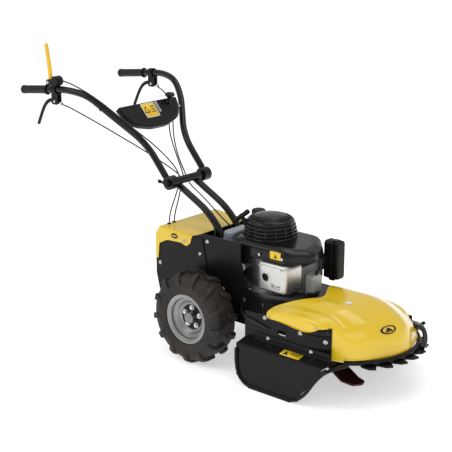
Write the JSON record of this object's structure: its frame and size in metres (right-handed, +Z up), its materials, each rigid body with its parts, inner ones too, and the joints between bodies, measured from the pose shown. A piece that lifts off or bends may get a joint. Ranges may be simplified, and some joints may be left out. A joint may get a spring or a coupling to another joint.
{
  "type": "brush mower",
  "caption": "Walk-behind wheeled brush mower: rotary blade under a front deck with runner wings, upright-shaft engine, lugged drive wheels and a tilting handlebar with levers.",
  "frame": {"origin": "on the ground, under the middle of the machine's overall box", "axes": "+X forward towards the blade, +Y to the machine's left, +Z up"},
  "size_m": [1.6121, 0.592, 1.058],
  "materials": {
    "black_steel": "satin black powder coat",
    "yellow_cover": "glossy moulded yellow",
    "yellow_lever": "satin yellow",
    "cast_metal": "as cast",
    "bright_metal": "pressed and polished",
    "dark_steel": "turned steel",
    "gloss_black": "gloss black",
    "matt_black": "fine-grained black",
    "grey_plastic": "light grey",
    "tyre_rubber": "dull moulded rubber",
    "grip_rubber": "ribbed rubber",
    "belt_rubber": "matt",
    "rim_grey": "silver-grey paint",
    "blade_red": "dark red paint",
    "zinc": "bright zinc plate"
  },
  "bodies": {
    "root": {"side_plates": "black_steel", "uprights": "black_steel", "back_plate": "black_steel", "rear_hood": "yellow_cover", "gear_case": "cast_metal", "engine_plate": "black_steel", "crankcase": "cast_metal", "cylinder": "cast_metal", "valve_cover": "bright_metal", "engine_shroud": "gloss_black", "recoil_dome": "matt_black", "fuel_tank": "grey_plastic", "muffler": "dark_steel", "muffler_guard": "bright_metal", "air_cleaner": "matt_black", "carburettor": "cast_metal", "deck_pan": "black_steel", "deck_sides": "black_steel", "front_cover": "yellow_cover", "front_rim": "black_steel", "front_comb": "black_steel", "wing_right": "black_steel", "wing_left": "black_steel", "spindle_housing": "cast_metal", "blade_belt": "belt_rubber", "drive_belt": "belt_rubber", "handle_column": "black_steel", "clamp_bolt": "zinc", "cables_lower": "belt_rubber", "body_bolts": "zinc"},
    "axle": {"axle_shaft": "dark_steel", "worm_wheel": "dark_steel", "wheel_rims": "rim_grey", "tyre_right": "tyre_rubber", "tyre_left": "tyre_rubber", "wheel_hubs": "dark_steel", "wheel_bolts": "zinc"},
    "worm": {"worm_shaft": "dark_steel"},
    "crank": {"crankshaft": "dark_steel", "flywheel": "cast_metal", "engine_pulley": "dark_steel"},
    "rotor": {"blade_spindle": "dark_steel", "blade": "blade_red", "blade_pulley": "dark_steel"},
    "blade_idler": {"blade_idler": "dark_steel"},
    "drive_idler": {"drive_idler": "dark_steel"},
    "handlebar": {"handlebar_right": "black_steel", "handlebar_left": "black_steel", "grips": "grip_rubber", "console_tray": "matt_black", "right_control": "matt_black", "left_control": "matt_black", "cables_upper": "belt_rubber"},
    "right_lever": {"clutch_lever_right": "matt_black"},
    "left_lever": {"clutch_lever_left": "matt_black"},
    "safety": {"safety_lever": "yellow_lever"},
    "selector": {"selector_knob": "matt_black"},
    "fuel_cap": {"fuel_cap": "matt_black"},
    "oil_cap": {"oil_cap": "grey_plastic"},
    "starter": {"starter_grip": "matt_black"}
  },
  "joints": [
    {"name": "axle_spin", "type": "hinge", "parent": "root", "child": "axle", "pos_m": [0.045, 0, 0.165], "axis": [0, 1, 0], "continuous": true},
    {"name": "worm_spin", "type": "hinge", "parent": "root", "child": "worm", "pos_m": [-0.007, 0, 0.165], "axis": [0, 0, 1], "continuous": true},
    {"name": "crank_spin", "type": "hinge", "parent": "root", "child": "crank", "pos_m": [0.198, 0, 0.3], "axis": [0, 0, 1], "continuous": true},
    {"name": "blade_spin", "type": "hinge", "parent": "root", "child": "rotor", "pos_m": [0.45, 0, 0.06], "axis": [0, 0, 1], "continuous": true},
    {"name": "blade_idler_swing", "type": "hinge", "parent": "root", "child": "blade_idler", "pos_m": [0.367, -0.112, 0.225], "axis": [0, 0, 1], "range_deg": [-12, 0]},
    {"name": "drive_idler_swing", "type": "hinge", "parent": "root", "child": "drive_idler", "pos_m": [0.06, 0.1, 0.24], "axis": [0, 0, 1], "range_deg": [-7, 0]},
    {"name": "handle_tilt", "type": "hinge", "parent": "root", "child": "handlebar", "pos_m": [-0.197, 0, 0.58], "axis": [0, 1, 0], "range_deg": [-20, 25]},
    {"name": "right_lever_squeeze", "type": "hinge", "parent": "handlebar", "child": "right_lever", "pos_m": [-0.619, -0.252, 0.85], "axis": [0, 1, 0], "range_deg": [0, 23.5], "stiffness_Nm_per_rad": 1.2, "springref_deg": -17.19},
    {"name": "left_lever_squeeze", "type": "hinge", "parent": "handlebar", "child": "left_lever", "pos_m": [-0.619, 0.252, 0.85], "axis": [0, 1, 0], "range_deg": [0, 23.5], "stiffness_Nm_per_rad": 1.2, "springref_deg": -17.19},
    {"name": "safety_squeeze", "type": "hinge", "parent": "handlebar", "child": "safety", "pos_m": [-0.647, -0.252, 0.918], "axis": [0, -1, 0], "range_deg": [0, 70], "stiffness_Nm_per_rad": 0.5, "springref_deg": -22.92},
    {"name": "selector_pull", "type": "slide", "parent": "handlebar", "child": "selector", "axis": [0, 0, 1], "range_m": [0, 0.012]},
    {"name": "fuel_cap_turn", "type": "hinge", "parent": "root", "child": "fuel_cap", "pos_m": [0.072, 0.086, 0.48], "axis": [0, 0, 1], "range_deg": [0, 180]},
    {"name": "oil_cap_turn", "type": "hinge", "parent": "root", "child": "oil_cap", "pos_m": [0.164, -0.118, 0.344], "axis": [0, -1, 0], "range_deg": [0, 360]},
    {"name": "starter_pull", "type": "slide", "parent": "root", "child": "starter", "axis": [-0.6, 0, 0.8], "range_m": [0, 0.7], "stiffness_N_per_m": 20, "springref_m": -0.25}
  ],
  "couplings": [
    {"joint": "worm_spin", "follows": "axle_spin", "ratio": 12},
    {"joint": "blade_idler_swing", "follows": "right_lever_squeeze", "ratio": -0.51},
    {"joint": "drive_idler_swing", "follows": "left_lever_squeeze", "ratio": -0.297}
  ]
}
